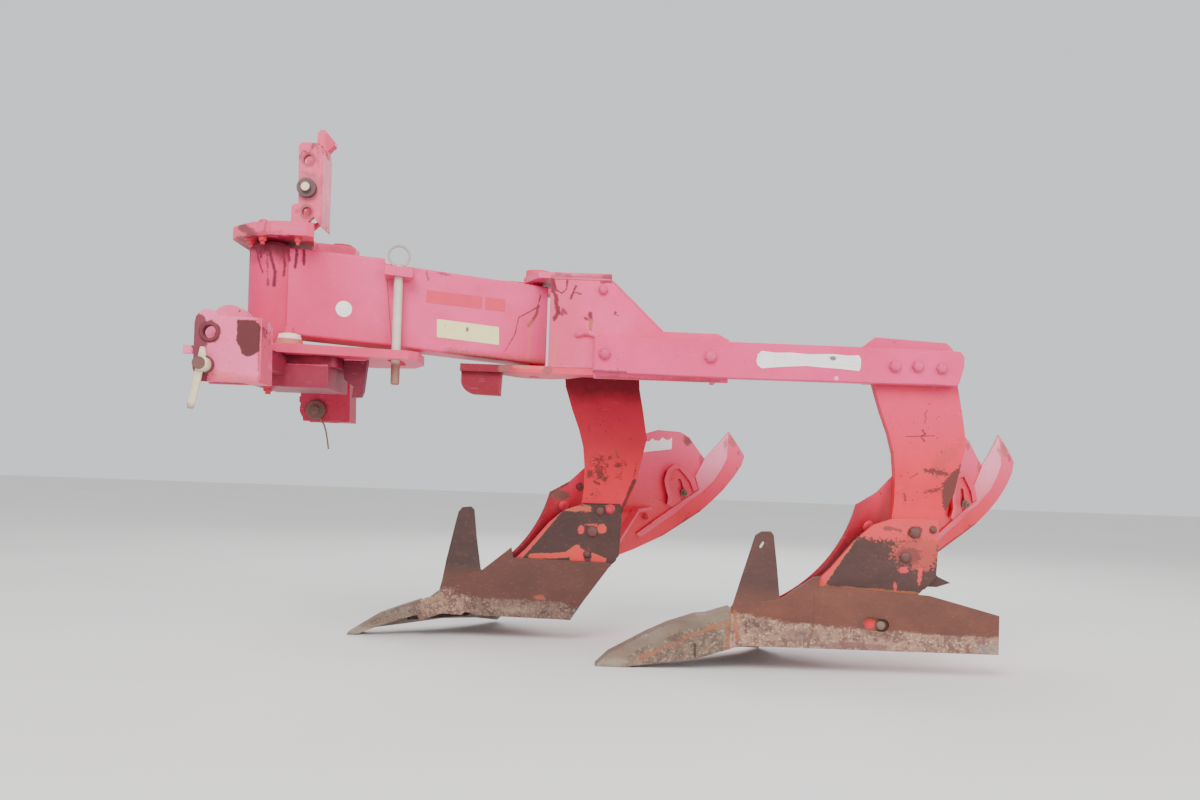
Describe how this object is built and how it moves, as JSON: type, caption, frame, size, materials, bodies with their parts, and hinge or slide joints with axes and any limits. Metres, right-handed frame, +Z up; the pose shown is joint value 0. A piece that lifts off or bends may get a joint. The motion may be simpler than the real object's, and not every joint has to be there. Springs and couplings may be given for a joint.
{
  "type": "moldboard plough",
  "caption": "Three-point-mounted moldboard plough: slewing headstock, box beam, curved legs, wide boards with tail strips, landsides and chisel points.",
  "frame": {"origin": "floor level, under the middle of the plough's box", "axes": "+X to the rear, opposite to travel; +Y to the ploughed side, the plough's right; +Z up"},
  "size_m": [2.431, 1.578, 1.42],
  "materials": {
    "frame_red": "satin, faded red paint",
    "bar_red": "satin, faded red paint",
    "pin_red": "satin, painted pin heads",
    "barrel_red": "satin, darker red paint",
    "leg_red": "satin, red paint",
    "board_red": "satin, red paint",
    "board_pink": "satin, faded red paint",
    "bare_steel": "bare steel with rust",
    "worn_frog": "worn to brown steel",
    "worn_landside": "worn steel, rust above the sole",
    "worn_share": "worn steel",
    "worn_point": "worn steel with rust"
  },
  "bodies": {
    "headstock": {"top_flange": "frame_red", "headstock_column": "frame_red", "slewing_plate": "frame_red", "lower_pivot_plate": "frame_red", "cross_member": "frame_red", "stop_web": "frame_red", "mast": "frame_red", "top_link_pin": "bare_steel", "left_hitch_bracket": "frame_red", "right_hitch_bracket": "frame_red", "hitch_pins": "bare_steel", "front_pivot_pin": "pin_red", "tie_front_pin": "pin_red"},
    "beam": {"main_beam": "frame_red", "front_barrel": "barrel_red", "pin_ear": "frame_red", "drop_pin": "bare_steel"},
    "tie": {"tie_bar": "frame_red"},
    "rear_frame": {"hinge_top_plate": "frame_red", "bottom_plate": "frame_red", "adjuster_lug": "frame_red", "frame_near_plate": "frame_red", "frame_far_plate": "frame_red", "frame_back_plate": "frame_red", "cross_tube": "frame_red", "hinge_pins": "pin_red", "carrying_bar": "bar_red", "front_leg": "leg_red", "front_backing_plate": "bar_red", "front_frog": "worn_frog", "front_landside": "worn_landside", "front_fin": "worn_landside", "front_share": "worn_share", "front_point": "worn_point", "front_moldboard": "board_red", "front_strip": "board_pink", "front_bracket": "board_red", "front_bracket_rim": "board_pink", "front_stay": "leg_red", "rear_leg": "leg_red", "rear_backing_plate": "bar_red", "rear_frog": "worn_frog", "rear_landside": "worn_landside", "rear_fin": "worn_landside", "rear_share": "worn_share", "rear_point": "worn_point", "rear_moldboard": "board_red", "rear_strip": "board_pink", "rear_bracket": "board_red", "rear_bracket_rim": "board_pink", "rear_stay": "leg_red"}
  },
  "joints": [
    {"name": "beam_swing", "type": "hinge", "parent": "headstock", "child": "beam", "pos_m": [-1.112, -0.27598, 0.979], "axis": [0, 0, 1], "range_deg": [-2, 14]},
    {"name": "rear_frame_swing", "type": "hinge", "parent": "beam", "child": "rear_frame", "pos_m": [-0.407, -0.12398, 0.946], "axis": [0, 0, 1], "range_deg": [-14, 2]},
    {"name": "tie_bar_swing", "type": "hinge", "parent": "headstock", "child": "tie", "pos_m": [-0.983, -0.08598, 1.086], "axis": [0, 0, 1], "range_deg": [-2, 14]}
  ],
  "couplings": [
    {"joint": "rear_frame_swing", "follows": "beam_swing", "ratio": -1},
    {"joint": "tie_bar_swing", "follows": "beam_swing", "ratio": 1}
  ]
}
